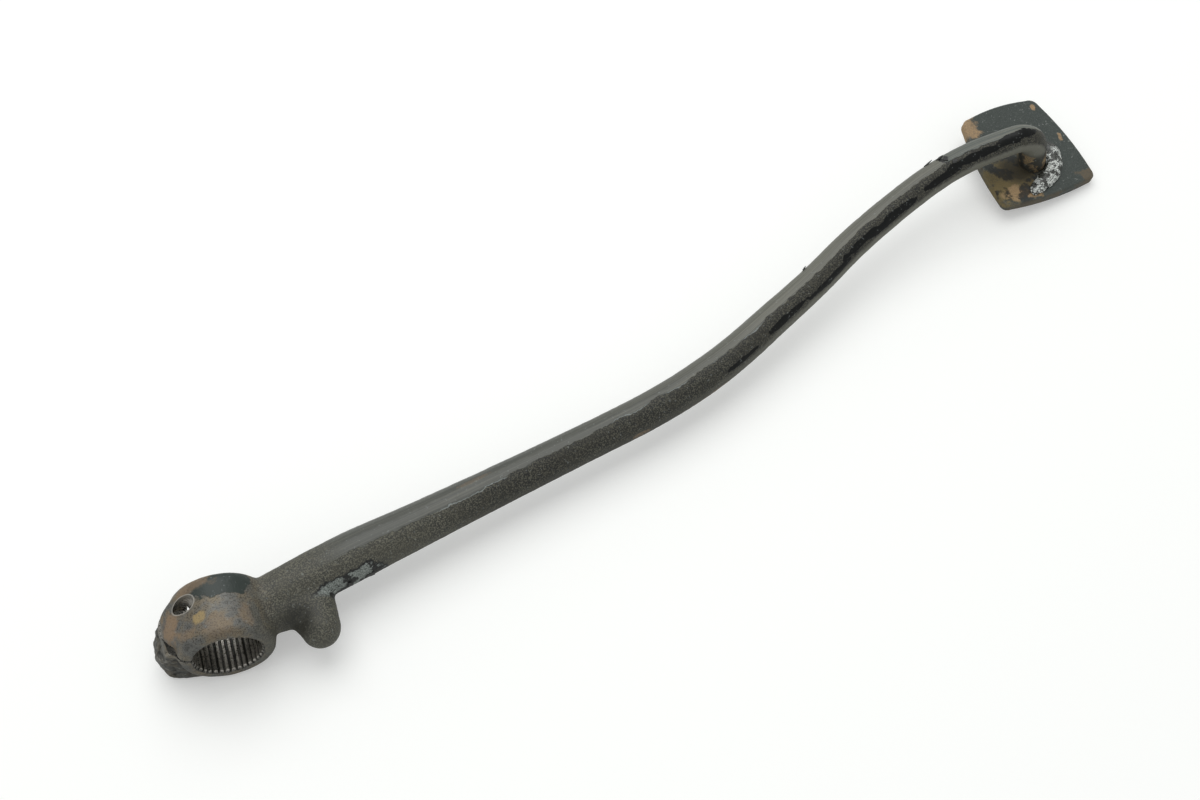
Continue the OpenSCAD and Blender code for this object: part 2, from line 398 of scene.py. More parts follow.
@dataclass(frozen=True)
class ArmLine:
    """The arm's middle line and its thickness, in millimetres.

    Each station is X, Y, Z and a diameter.
    """

    stations: tuple[tuple[float, float, float, float], ...] = (
        (3, 0.5, -0.1, 13.6), (18, 5.3, -0.5, 13.6), (35, 10.5, -1, 13.6), (57, 16.1, -1.5, 12.1),
        (82, 22.5, -2, 11), (105, 28.4, -2.3, 10.4), (124, 33.5, -2.5, 10.4), (139, 38.7, -2.4, 10.4),
        (152, 44.5, -2, 10.2), (166, 52.1, -1.1, 9.8), (182, 61, 0, 9.4), (198, 70.6, 1.6, 9.1),
        (216, 79.5, 3.5, 8.9), (229, 84.7, 4.9, 8.7), (240, 87.5, 6, 8.5), (250, 88.6, 7, 8.4),
        (254.6, 88.9, 7.5, 8.3)
    )
    elbow: Point = (260, 89, 8)
    elbow_radius: float = 6.5
    end: Point = (262.6, 89.4, -7.2)
    end_diameter: float = 8.3
    elbow_steps: int = 14
    spacing: float = 1.0
    back: Point = (-0.3, 1.0, 0.0)

    def curve(self) -> tuple[np.ndarray, np.ndarray]:
        """Works out the line through the stations, round the elbow, to the end.

        Returns:
            The points, and the diameter at each.
        """
        rows = np.array(self.stations, float)
        rows = np.concatenate([[2 * rows[0] - rows[1]], rows, [2 * rows[-1] - rows[-2]]])
        points = []
        for i in range(len(rows) - 3):
            four = rows[i : i + 4]
            steps = max(2, int(np.linalg.norm((four[2] - four[1])[:3]) / self.spacing))
            points.extend(between(four, k / steps) for k in range(steps))
        corner, end = np.array(self.elbow, float), np.array(self.end, float)
        into = corner - rows[-2][:3]
        into /= np.linalg.norm(into)
        out = end - corner
        out /= np.linalg.norm(out)
        angle = math.acos(float(into @ out))
        start = corner - into * (self.elbow_radius * math.tan(angle / 2))
        across = out - into * float(into @ out)
        across /= np.linalg.norm(across)
        points = [p for p in points if (start - p[:3]) @ into > 0.4]
        for k in range(self.elbow_steps + 1):
            a = angle * k / self.elbow_steps
            ahead = into * self.elbow_radius * math.sin(a)
            aside = across * self.elbow_radius * (1 - math.cos(a))
            points.append(np.append(start + ahead + aside, self.end_diameter))
        last = points[-1][:3]
        run = max(2, int(np.linalg.norm(end - last) / self.spacing))
        for k in range(1, run + 1):
            points.append(np.append(last + (end - last) * k / run, self.end_diameter))
        made = np.array(points)
        return made[:, :3], made[:, 3]

    def course(self) -> tuple[np.ndarray, np.ndarray]:
        """Measures the line.

        Returns:
            Each point's distance along the line, and the way that the line runs there.
        """
        points, _ = self.curve()
        steps = np.linalg.norm(np.diff(points, axis=0), axis=1)
        return np.concatenate([[0], np.cumsum(steps)]), np.gradient(points, axis=0)


@dataclass
class ClampBoss:
    """The split clamp boss with its serrated bore, jaws and pinch hole."""

    radius: float = 12.7
    length: float = 18
    edge: float = 2.2
    tip_radius: float = 8.7
    root_radius: float = 9.2
    mouth_radius: float = 9.4
    chamfer: float = 0.8
    teeth: int = 36
    land: float = 0.42
    slit_width: float = 1.2
    slit_tilt: float = 12
    bolt_tilt: float = 17
    bolt_offset: float = 10.4
    bolt_y: float = 3
    thread_radius: float = 2.25
    thread_pitch: float = 1.0
    thread_depth: float = 0.4
    clear_radius: float = 3.3
    seat_radius: float = 5.2
    seat_depth: float = 13.2
    upper_reach: float = 16.2
    lower_reach: float = 18.9

    def ring(self) -> bpy.types.Object:
        """The boss as a solid drum with rounded rims."""

        def build(made: bmesh.types.BMesh) -> None:
            add_cone(made, self.radius, self.radius, self.length, along_bore(), 128)
            rims = [e for e in made.edges if abs(e.verts[0].co.y - e.verts[1].co.y) < 1e-3]
            bmesh.ops.bevel(
                made, geom=rims, affect="EDGES", offset=self.edge, segments=5, profile=0.5, material=-1
            )

        return block("ring", build)

    def lug(
        self, side: Sequence[tuple[float, float]], plan: Sequence[tuple[float, float]]
    ) -> bpy.types.Object:
        """A jaw: its side outline met by its plan outline.

        Args:
            side: Outline in X and Z.
            plan: Outline in X and Y.

        Returns:
            The jaw.
        """
        half = self.length

        def side_prism(made: bmesh.types.BMesh) -> None:
            outline = [(x, -half, z) for x, z in smooth_outline(side, 5)]
            extrude_outline(made, outline, Vector((0, 2 * half, 0)))

        def plan_prism(made: bmesh.types.BMesh) -> None:
            outline = [(x, y, -2 * half) for x, y in smooth_outline(plan, 5)]
            extrude_outline(made, outline, Vector((0, 0, 4 * half)))

        return combine(block("jaw", side_prism), block("plan", plan_prism), Carve.KEEP)

    def jaws(self) -> list[bpy.types.Object]:
        """The upper and the lower jaw."""
        tip, low = -self.upper_reach, -self.radius
        upper = self.lug(
            [
                (-3, 11.4), (-8, 10), (-11, 7.8), (tip + 2.2, 5), (tip + 0.4, 2.4), (tip + 0.4, 0),
                (-8, -4), (-2, 0), (-1, 8)
            ],
            [
                (-2, -6.4), (-9.5, -6.8), (tip + 4, -5), (tip + 1.2, -1.8), (tip, 1.4), (tip + 1, 4),
                (tip + 4, 6.2), (-8, 6.8), (-2, 6.4)
            ]
        )
        tip = -self.lower_reach
        lower = self.lug(
            [
                (-2, -2), (-8, 2), (tip + 4.8, 2.6), (tip + 2.4, -0.6), (tip + 0.4, -4), (tip + 0.2, -8),
                (tip + 1.4, -11), (tip + 4, low + 0.3), (-10, low + 0.3), (-3, low + 1)
            ],
            [
                (-2, -6.6), (-9.5, -6.8), (tip + 5, -6), (tip + 1.6, -4.6), (tip, -1.6), (tip + 0.2, 1.6),
                (tip + 2.4, 4.8), (-10, 6.8), (-2, 6.6)
            ]
        )
        return [upper, lower]

    def bore_cutter(self) -> bpy.types.Object:
        """The serrated bore, with a chamfer at each mouth."""
        pitch = 2 * math.pi / self.teeth
        land = pitch * self.land / 2
        groove = pitch * 0.1
        profile = (
            (-land, self.tip_radius), (0.0, self.tip_radius), (land, self.tip_radius),
            (pitch / 2 - groove, self.root_radius), (pitch / 2 + groove, self.root_radius)
        )
        reach = self.length

        def build(made: bmesh.types.BMesh) -> None:
            outline = [
                (r * math.cos(k * pitch + a), -reach, r * math.sin(k * pitch + a))
                for k in range(self.teeth)
                for a, r in profile
            ]
            extrude_outline(made, outline, Vector((0, 2 * reach, 0)))

        return block("bore", build)

    def mouth_cutter(self, side: int) -> bpy.types.Object:
        """The cone that cuts the chamfer at one mouth of the bore.

        Args:
            side: -1 for the front mouth, 1 for the back one.

        Returns:
            The cone.
        """
        place = Matrix.Translation((0, side * self.length / 2, 0)) @ along_bore()
        radius, slope = self.mouth_radius, side * self.chamfer
        depth = 2 * self.chamfer
        return block("mouth", lambda made: add_cone(made, radius - slope, radius + slope, depth, place, 96))

    def slit_cutter(self) -> bpy.types.Object:
        """The slit that lets the boss close on its shaft."""
        far = self.radius + 12
        deep = far - self.tip_radius / 2
        turn = Matrix.Rotation(math.radians(self.slit_tilt), 4, "Y")
        place = Matrix.Translation((deep / 2 - far, 0, 0))
        place = turn @ place @ Matrix.Diagonal((deep, 4 * self.length, self.slit_width, 1))
        return block("slit", lambda made: bmesh.ops.create_cube(made, size=1, matrix=place))

    def bolt_place(self) -> Matrix:
        """Where the pinch bolt's axis stands."""
        turn = Matrix.Rotation(math.radians(self.bolt_tilt), 4, "Y")
        return turn @ Matrix.Translation((-self.bolt_offset, self.bolt_y, 0))

    def bolt_cutter(self, radius: float, top: float) -> bpy.types.Object:
        """A bar on the bolt's axis, from below the boss up to a height.

        Args:
            radius: The bar's radius.
            top: Where it ends, measured along the axis from the bore's middle.

        Returns:
            The bar.
        """
        tall = 2 * self.radius
        place = self.bolt_place() @ Matrix.Translation((0, 0, (top - tall) / 2))
        return block("bolt_bar", lambda made: add_cone(made, radius, radius, top + tall, place))

    def thread_cutter(self) -> bpy.types.Object:
        """The tapped hole's thread, worn down at its crests and faded at its mouth."""
        turns, rise = 40, 0.125
        low, high = -0.3, self.radius
        crest = 0.06
        place = self.bolt_place()

        def on_wall(r: float, share: float, height: float) -> Vector:
            """The point at a radius, a share of a turn and a height."""
            angle = 2 * math.pi * share
            return place @ Vector((r * math.cos(angle), r * math.sin(angle), height))

        def threaded(share: float, height: float) -> Vector:
            """The thread's point at a share of a turn and a height."""
            phase = (height / self.thread_pitch - share) % 1.0
            ridge = min(1.0, 2.4 * abs(phase - 0.5))
            wall = on_wall(self.thread_radius, share, height)
            under = self.radius - 0.9 - math.hypot(wall.x, wall.z)
            fade = min(1.0, max(0.0, under / 0.5))
            r = self.thread_radius + crest + (self.thread_depth * ridge - crest) * fade
            return on_wall(r, share, height)

        def build(made: bmesh.types.BMesh) -> None:
            rings = [
                [made.verts.new(threaded(k / turns, low + i * rise)) for k in range(turns)]
                for i in range(int((high - low) / rise) + 1)
            ]
            for below, above in zip(rings, rings[1:]):
                for k in range(turns):
                    m = (k + 1) % turns
                    made.faces.new((below[k], below[m], above[m], above[k]))
            made.faces.new(rings[0][::-1])
            made.faces.new(rings[-1])

        return block("thread", build)

    def cutters(self) -> list[bpy.types.Object]:
        """All that is cut from the forging: bore, slit, clearance hole, head seat and thread."""
        return [
            self.bore_cutter(), self.mouth_cutter(-1), self.mouth_cutter(1), self.slit_cutter(),
            self.bolt_cutter(self.clear_radius, 0.0),
            self.bolt_cutter(self.seat_radius, -self.seat_depth), self.thread_cutter()
        ]


@dataclass
class StopPeg:
    """The short domed peg, its sloping flank and the web that carries it."""

    radius: float = 5.3
    x: float = 24
    z: float = -2
    length: float = 12
    web_radius: float = 6.1
    web_root: Point = (6.5, 0.4, -0.5)
    flank_radius: float = 3.6

    def solids(self) -> list[bpy.types.Object]:
        """The peg's shank, dome, web and flank."""
        dome = (self.x, self.radius - self.length, self.z)
        middle = Matrix.Translation((self.x, dome[1] + self.length / 2, self.z)) @ along_bore()
        flank = (self.x - 3.0, -4.6, self.z + 0.2)

        def web(made: bmesh.types.BMesh) -> None:
            add_ball(made, self.web_radius, self.web_root)
            add_ball(made, self.radius - 0.3, (self.x - 0.3, 0.5, -1.4))
            hull = bmesh.ops.convex_hull(made, input=made.verts[:])
            bmesh.ops.delete(made, geom=points_of(hull["geom_interior"]), context="VERTS")

        return [
            block("shank", lambda made: add_cone(made, self.radius, self.radius, self.length, middle)),
            block("dome", lambda made: add_ball(made, self.radius, dome, 48)), block("web", web),
            block("flank", lambda made: add_ball(made, self.flank_radius, flank))
        ]


@dataclass
class Forging:
    """The one forging: boss, jaws, peg and arm, blended where they meet."""

    boss: ClampBoss = field(default_factory=ClampBoss)
    peg: StopPeg = field(default_factory=StopPeg)
    line: ArmLine = field(default_factory=ArmLine)
    voxel: float = 0.45
    blend_rounds: int = 44
    even_rounds: int = 3
    margin: float = 0.01

    def arm(self) -> bpy.types.Object:
        """The arm as a round bar along its middle line."""
        points, diameters = self.line.curve()
        curve = bpy.data.curves.new("arm_line", "CURVE")
        curve.dimensions = "3D"
        curve.use_fill_caps = True
        curve.bevel_depth = MM
        curve.bevel_resolution = 10
        spline = curve.splines.new("POLY")
        spline.points.add(len(points) - 1)
        for at, p, d in zip(spline.points, points, diameters):
            at.co = (*(p * MM), 1)
            at.radius = d / 2
        holder = stand("arm_line", curve)
        graph = bpy.context.evaluated_depsgraph_get()
        mesh = bpy.data.meshes.new_from_object(holder.evaluated_get(graph))
        bpy.data.objects.remove(holder)
        bpy.data.curves.remove(curve)
        made = bmesh.new()
        made.from_mesh(mesh)
        bmesh.ops.remove_doubles(made, verts=made.verts[:], dist=1e-6)
        bmesh.ops.recalc_face_normals(made, faces=made.faces[:])
        return object_of("arm", made)

    def blend_weight(self, where: np.ndarray) -> np.ndarray:
        """How strongly each point is smoothed: fully where parts of the forging meet.

        Args:
            where: The points, in millimetres.

        Returns:
            A weight from 0 to 1 for each point.
        """
        spots = (
            ((11, 6, 2), 11.0), ((14, 1, 0), 10.0), ((19, 3, 2), 8.0), ((24, 1.5, 2), 7.0),
            ((28.5, 5, -2), 6.5), ((13, 2, -8), 8.0), ((24, 3, -6), 7.0), ((18, -5.5, -1), 6.5),
            ((12.8, -5.5, 0), 4.5)
        )
        weight = np.zeros(len(where))
        for centre, radius in spots:
            far = np.linalg.norm(where - np.array(centre), axis=1)
            weight = np.maximum(weight, np.clip(1.6 * (1 - far / radius), 0, 1))
        jaw = np.clip((-where[:, 0] - 6.5) / 2.5, 0, 1)
        return np.clip(np.maximum(weight, 0.32 * jaw), 0, 1)

    def body(self) -> bpy.types.Object:
        """The forging before it is machined, with its blends."""
        parts = [self.boss.ring(), *self.boss.jaws(), *self.peg.solids(), self.arm()]
        whole = join("pedal_forging", parts)
        even_skin(whole, self.voxel)
        settle(whole)
        weights = self.blend_weight(read_points(whole.data) / MM)
        soften(whole, self.blend_rounds, weigh(whole, "blend", weights, 16))
        soften(whole, self.even_rounds)
        settle(whole)
        whole.vertex_groups.clear()
        self.batter(whole)
        return whole

    def batter(self, whole: bpy.types.Object) -> None:
        """Gives the forging its uneven skin, and the lower jaw its deep scars.

        Args:
            whole: The forging before it is machined.
        """
        x, _, z = (read_points(whole.data) / MM).T
        jaw = np.clip((-x - 9.0) / 4.0, 0, 1)
        jaw *= np.clip((1.5 - z) / 2.0, 0, 1)
        jaw *= np.clip((z + 11.5) / 1.5, 0, 1)
        scarred = weigh(whole, "scarred", jaw, 8)
        dent(whole, "uneven", 6.0, 0.16)
        dent(whole, "pitted", 1.3, 0.1)
        dent(whole, "scars", 4.2, 0.9, scarred)
        dent(whole, "scars_fine", 1.6, 0.22, scarred)
        settle(whole)
        whole.vertex_groups.clear()

    def mark_arm(self, piece: bpy.types.Object) -> None:
        """Stores on each point its place along the arm and its angle round it.

        Args:
            piece: The forging.
        """
        line, _ = self.line.curve()
        along, tangent = self.line.course()
        tangent /= np.linalg.norm(tangent, axis=1)[:, None]
        back = np.array(self.line.back)
        back = back - tangent * (tangent @ back)[:, None]
        back /= np.linalg.norm(back, axis=1)[:, None]
        lift = np.cross(tangent, back)
        where = read_points(piece.data) / MM
        count = len(where)
        nearest = np.empty(count, int)
        chunk = 8000
        for i in range(0, count, chunk):
            gap = where[i : i + chunk, None, :] - line[None, :, :]
            nearest[i : i + chunk] = np.argmin((gap * gap).sum(2), axis=1)
        off = where - line[nearest]
        sideways, upwards = ((off * way[nearest]).sum(1) for way in (back, lift))
        turn = np.degrees(np.arctan2(sideways, upwards))
        marks = np.stack([along[nearest], turn, np.zeros(count)], axis=1)
        held = piece.data.attributes.new("arm_place", "FLOAT_VECTOR", "POINT")
        held.data.foreach_set("vector", marks.astype(np.float32).ravel())

    def keep_inside(self, piece: bpy.types.Object, packed_box: tuple[Vector, Vector]) -> None:
        """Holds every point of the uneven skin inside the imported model's box.

        Args:
            piece: The forging.
            packed_box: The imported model's lowest and highest corner.
        """
        mesh = piece.data
        low, high = (np.array(corner) for corner in packed_box)
        where = np.clip(read_points(mesh), low + self.margin * MM, high - self.margin * MM)
        mesh.vertices.foreach_set("co", where.ravel())
        mesh.update()

    def build(self, finish: bpy.types.Material, packed_box: tuple[Vector, Vector]) -> bpy.types.Object:
        """Makes the forging and dresses it.

        Args:
            finish: The arm's material.
            packed_box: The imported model's lowest and highest corner.

        Returns:
            The finished piece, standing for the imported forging.
        """
        piece = self.body()
        for cutter in self.boss.cutters():
            combine(piece, cutter, Carve.CUT)
        piece.name = "forged_pedal"
        self.keep_inside(piece, packed_box)
        mark_wear(piece)
        clean_skin(piece)
        self.mark_arm(piece)
        shade(piece, 38)
        paint(piece, finish)
        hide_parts("pedal_arm")
        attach(piece, "root")
        return piece


def shade(piece: bpy.types.Object, angle: float) -> None:
    """Shades a piece smooth, with its edges sharp past an angle.

    Args:
        piece: The piece to shade.
        angle: Degrees between faces past which an edge stays sharp.
    """
    piece.data.shade_smooth()
    piece.data.set_sharp_from_angle(angle=math.radians(angle))


def mark_wear(piece: bpy.types.Object) -> None:
    """Stores how proud each point stands, as the attribute edge_wear.

    Args:
        piece: The piece whose edges wear.
    """
    mesh = piece.data
    where, normal = read_points(mesh), read_points(mesh, "normal")
    count = len(where)
    edges = np.empty(len(mesh.edges) * 2, np.int32)
    mesh.edges.foreach_get("vertices", edges)
    edges = edges.reshape(-1, 2)
    value = np.zeros(count)
    total = np.zeros(count)
    span = where[edges[:, 1]] - where[edges[:, 0]]
    size = np.maximum(np.linalg.norm(span, axis=1), 1e-9)
    for here, sign in ((0, -1.0), (1, 1.0)):
        rise = sign * (span * normal[edges[:, here]]).sum(1) / size
        np.add.at(value, edges[:, here], rise)
        np.add.at(total, edges[:, here], 1)
    value /= np.maximum(total, 1)
    for _ in range(2):
        spread = np.zeros(count)
        np.add.at(spread, edges[:, 0], value[edges[:, 1]])
        np.add.at(spread, edges[:, 1], value[edges[:, 0]])
        value = 0.5 * value + 0.5 * spread / np.maximum(total, 1)
    held = mesh.attributes.new("edge_wear", "FLOAT", "POINT")
    held.data.foreach_set("value", value.astype(np.float32))


@dataclass
class WeldBead:
    """The weld run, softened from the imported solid."""

    voxel: float = 0.3
    lumps: float = 0.35

    def build(self, packed: bpy.types.Object, finish: bpy.types.Material) -> bpy.types.Object:
        """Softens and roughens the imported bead.

        Args:
            packed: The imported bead.
            finish: The weld's material.

        Returns:
            The finished bead.
        """
        made = bmesh.new()
        made.from_mesh(packed.data)
        bmesh.ops.remove_doubles(made, verts=made.verts[:], dist=1e-6)
        piece = object_of("weld_run", made)
        even_skin(piece, self.voxel)
        soften(piece, 6)
        dent(piece, "weld_lumps", 2.2, self.lumps)
        settle(piece)
        mark_wear(piece)
        shade(piece, 60)
        paint(piece, finish)
        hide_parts("weld_bead")
        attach(piece, "root")
        return piece


@dataclass(frozen=True)
class Flake:
    """One loose flake: its place along and round the arm, its size and its lift.

    Lengths are in millimetres and the place round the arm in degrees.
    """

    along: float
    turn: float
    length: float
    width: float
    lift: float


@dataclass
class PaintFlakes:
    """The thick black paint that stands off the arm in small flakes."""

    line: ArmLine = field(default_factory=ArmLine)
    thickness: float = 0.22
    flakes: tuple[Flake, ...] = (
        Flake(244.5, 36, 2.6, 1.3, 0.35), Flake(241.2, 52, 3.2, 1.2, 0.45),
        Flake(245.4, 14, 1.6, 2.4, 0.3), Flake(189.8, 54, 1.8, 0.9, 0.4),
        Flake(247.0, -16, 2.2, 1.6, 0.25), Flake(36.5, -96, 3.4, 1.4, 0.35),
        Flake(30.5, -92, 2.0, 1.6, 0.3)
    )
    corners: tuple[float, ...] = (1.0, 0.7, 0.92, 0.62, 0.98, 0.78, 1.06, 0.66, 0.88)
    round_radius: float = 4.6
    sunk: float = 0.1

    def build(self, finish: bpy.types.Material) -> bpy.types.Object:
        """Makes the flakes and dresses them.

        Args:
            finish: The flakes' material.

        Returns:
            The piece that holds them all.
        """
        points, diameters = self.line.curve()
        along, tangent = self.line.course()

        def at_place(at: float, rows: np.ndarray) -> Vector:
            """The row of a table at a distance along the arm."""
            return Vector([float(np.interp(at, along, rows[:, i])) for i in range(3)])

        def on_arm(at: float, turn: float, off: float) -> Vector:
            """A point off the arm's surface."""
            ahead = at_place(at, tangent).normalized()
            back = Vector(self.line.back)
            back = (back - ahead * back.dot(ahead)).normalized()
            reach = float(np.interp(at, along, diameters)) / 2 + off
            a = math.radians(turn)
            return at_place(at, points) + (ahead.cross(back) * math.cos(a) + back * math.sin(a)) * reach

        def build(made: bmesh.types.BMesh) -> None:
            count = len(self.corners)
            for number, flake in enumerate(self.flakes):
                rim = []
                for k in range(count):
                    a = 2 * math.pi * k / count
                    half = 0.5 * self.corners[(k + 2 * number) % count]
                    u = half * flake.length * math.cos(a)
                    v = half * flake.width * math.sin(a)
                    curl = flake.lift * (0.5 + u / flake.length)
                    turn = flake.turn + math.degrees(v / self.round_radius)
                    rim.append(on_arm(flake.along + u, turn, curl - self.sunk))
                middle, above = (on_arm(flake.along, flake.turn, off) for off in (0, 1))
                extrude_outline(made, rim, (above - middle) * self.thickness)

        piece = block("paint_flakes", build)
        piece.data.materials.append(finish)
        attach(piece, "root")
        return piece


class Sheet:
    """A material's node tree, with short calls for the nodes that the finishes use."""

    def __init__(self, tree: bpy.types.NodeTree) -> None:
        """Keeps the tree.

        Args:
            tree: The node tree that gets the nodes.
        """
        self.tree = tree

    def node(self, kind: str, **settings: object) -> bpy.types.Node:
        """Adds a node.

        Args:
            kind: The node's type name.
            **settings: Properties to set on it.

        Returns:
            The node.
        """
        made = self.tree.nodes.new(kind)
        for name, value in settings.items():
            setattr(made, name, value)
        return made

    def feed(self, socket: bpy.types.NodeSocket, value: object) -> None:
        """Links an output to a socket, or sets a constant on it.

        Args:
            socket: The input.
            value: An output socket, a number or a tuple.
        """
        if isinstance(value, bpy.types.NodeSocket):
            self.tree.links.new(value, socket)
        elif isinstance(value, tuple) and len(value) == 3 and socket.type == "RGBA":
            socket.default_value = (*value, 1)
        else:
            socket.default_value = value

    def maths(self, how: str, a: object, b: object = 0.0, clamp: bool = False) -> bpy.types.NodeSocket:
        """A Math node.

        Args:
            how: The operation.
            a: First value.
            b: Second value.
            clamp: Whether the result is kept from 0 to 1.

        Returns:
            The result.
        """
        made = self.node("ShaderNodeMath", operation=how, use_clamp=clamp)
        self.feed(made.inputs[0], a)
        self.feed(made.inputs[1], b)
        return made.outputs[0]

    def times(self, *values: object) -> object:
        """The product of some values."""
        return reduce(lambda a, b: self.maths("MULTIPLY", a, b), values)

    def plus(self, *values: object) -> object:
        """The sum of some values."""
        return reduce(lambda a, b: self.maths("ADD", a, b), values)

    def vectors(self, how: str, a: object, b: Point | bpy.types.NodeSocket = (0, 0, 0)) -> object:
        """A Vector Math node.

        Args:
            how: The operation.
            a: First vector.
            b: Second vector.

        Returns:
            The vector, or the number if the operation is a length.
        """
        made = self.node("ShaderNodeVectorMath", operation=how)
        self.feed(made.inputs[0], a)
        self.feed(made.inputs[1], b)
        return made.outputs["Value" if how == "LENGTH" else "Vector"]

    def vector(self, a: object, b: object) -> bpy.types.NodeSocket:
        """A vector of two numbers and 0."""
        made = self.node("ShaderNodeCombineXYZ")
        self.feed(made.inputs[0], a)
        self.feed(made.inputs[1], b)
        return made.outputs[0]

    def ramp(
        self, value: object, low: float, high: float, start: float = 0.0, end: float = 1.0
    ) -> bpy.types.NodeSocket:
        """A smooth step from start to end as value goes from low to high.

        Args:
            value: What is mapped.
            low: Where the step begins.
            high: Where it ends.
            start: The result below low.
            end: The result above high.

        Returns:
            The result.
        """
        made = self.node("ShaderNodeMapRange", interpolation_type="SMOOTHSTEP")
        for name, given in (
            ("Value", value), ("From Min", low), ("From Max", high), ("To Min", start), ("To Max", end)
        ):
            self.feed(made.inputs[name], given)
        return made.outputs["Result"]

    def mix(self, share: object, a: object, b: object) -> bpy.types.NodeSocket:
        """A colour between two.

        Args:
            share: How much of the second.
            a: First colour.
            b: Second colour.

        Returns:
            The colour.
        """
        made = self.node("ShaderNodeMix", data_type="RGBA")
        self.feed(made.inputs[0], share)
        self.feed(made.inputs[6], a)
        self.feed(made.inputs[7], b)
        return made.outputs[2]

    def blend(self, share: object, a: object, b: object) -> bpy.types.NodeSocket:
        """A number between two.

        Args:
            share: How much of the second.
            a: First number.
            b: Second number.

        Returns:
            The number.
        """
        made = self.node("ShaderNodeMix", data_type="FLOAT")
        self.feed(made.inputs[0], share)
        self.feed(made.inputs[2], a)
        self.feed(made.inputs[3], b)
        return made.outputs[0]

    def noise(
        self, where: object, size_mm: float, detail: float = 3, rough: float = 0.6
    ) -> bpy.types.NodeSocket:
        """Noise whose lumps are about a given size.

        Args:
            where: The coordinates, in metres.
            size_mm: The size of a lump, in millimetres.
            detail: Octaves.
            rough: Their strength.

        Returns:
            The noise, about 0.5.
        """
        made = self.node("ShaderNodeTexNoise", noise_dimensions="3D")
        self.feed(made.inputs["Vector"], where)
        made.inputs["Scale"].default_value = 1 / (size_mm * MM)
        made.inputs["Detail"].default_value = detail
        made.inputs["Roughness"].default_value = rough
        return made.outputs["Fac"]

    def attribute(self, name: str) -> bpy.types.Node:
        """A named attribute of the mesh."""
        return self.node("ShaderNodeAttribute", attribute_type="GEOMETRY", attribute_name=name)

    def axes(self, vector: object) -> tuple[bpy.types.NodeSocket, ...]:
        """The three parts of a vector."""
        made = self.node("ShaderNodeSeparateXYZ")
        self.feed(made.inputs[0], vector)
        return tuple(made.outputs)

    def group(self, tree: bpy.types.NodeTree, **inputs: object) -> bpy.types.Node:
        """Places a shared node group.

        Args:
            tree: The group.
            **inputs: Values for its inputs, with underscores for spaces.

        Returns:
            The group's node.
        """
        made = self.node("ShaderNodeGroup", node_tree=tree)
        for name, value in inputs.items():
            self.feed(made.inputs[name.replace("_", " ")], value)
        return made


@dataclass(frozen=True)
class Shared:
    """The node groups that more than one finish uses."""

    spot: bpy.types.NodeTree
    grit: bpy.types.NodeTree


def new_group(
    name: str, inputs: Sequence[tuple[str, str, object]], outputs: Sequence[str]
) -> tuple[bpy.types.NodeTree, Sheet, bpy.types.Node, bpy.types.Node]:
    """Makes an empty node group.

    Args:
        name: The group's name.
        inputs: Name, socket type and default of each input.
        outputs: Name of each output, a number.

    Returns:
        The group, a sheet for it, its input node and its output node.
    """
    tree = bpy.data.node_groups.new(name, "ShaderNodeTree")
    for label, kind, default in inputs:
        made = tree.interface.new_socket(name=label, in_out="INPUT", socket_type=kind)
        made.default_value = default
    for label in outputs:
        tree.interface.new_socket(name=label, in_out="OUTPUT", socket_type="NodeSocketFloat")
    sheet = Sheet(tree)
    return tree, sheet, sheet.node("NodeGroupInput"), sheet.node("NodeGroupOutput")


def spot_group() -> bpy.types.NodeTree:
    """A ragged patch about a centre: 1 inside, 0 outside.

    Returns:
        The group.
    """
    tree, sheet, given, out = new_group(
        "ragged_spot",
        [
            ("Place", "NodeSocketVector", (0, 0, 0)), ("Centre", "NodeSocketVector", (0, 0, 0)),
            ("Reach", "NodeSocketVector", (1, 1, 1)), ("Noise", "NodeSocketFloat", 0.5),
            ("Ragged", "NodeSocketFloat", 0.6), ("Soft", "NodeSocketFloat", 0.15)
        ],
        ["Mask"]
    )
    off = sheet.vectors("SUBTRACT", given.outputs["Place"], given.outputs["Centre"])
    far = sheet.vectors("LENGTH", sheet.vectors("DIVIDE", off, given.outputs["Reach"]))
    push = sheet.times(sheet.plus(given.outputs["Noise"], -0.5), given.outputs["Ragged"])
    inside = sheet.maths("SUBTRACT", 1.0, sheet.plus(far, push))
    soft = sheet.maths("DIVIDE", inside, given.outputs["Soft"])
    sheet.feed(out.inputs["Mask"], sheet.maths("ADD", soft, 0.5, clamp=True))
    return tree


def grit_group() -> bpy.types.NodeTree:
    """Fine grit and larger stains for worn, dirty metal.

    Returns:
        The group.
    """
    place_input = ("Place", "NodeSocketVector", (0, 0, 0))
    tree, sheet, given, out = new_group("grit", [place_input], ["Grain", "Speck", "Stain", "Broad"])
    place = given.outputs["Place"]
    sheet.feed(out.inputs["Grain"], sheet.noise(place, 0.38, 3, 0.55))
    speck = sheet.noise(place, 0.8, 2, 0.5)
    sheet.feed(out.inputs["Speck"], sheet.ramp(speck, 0.64, 0.74))
    sheet.feed(out.inputs["Stain"], sheet.noise(place, 5, 5, 0.62))
    sheet.feed(out.inputs["Broad"], sheet.noise(place, 22, 3, 0.5))
    return tree


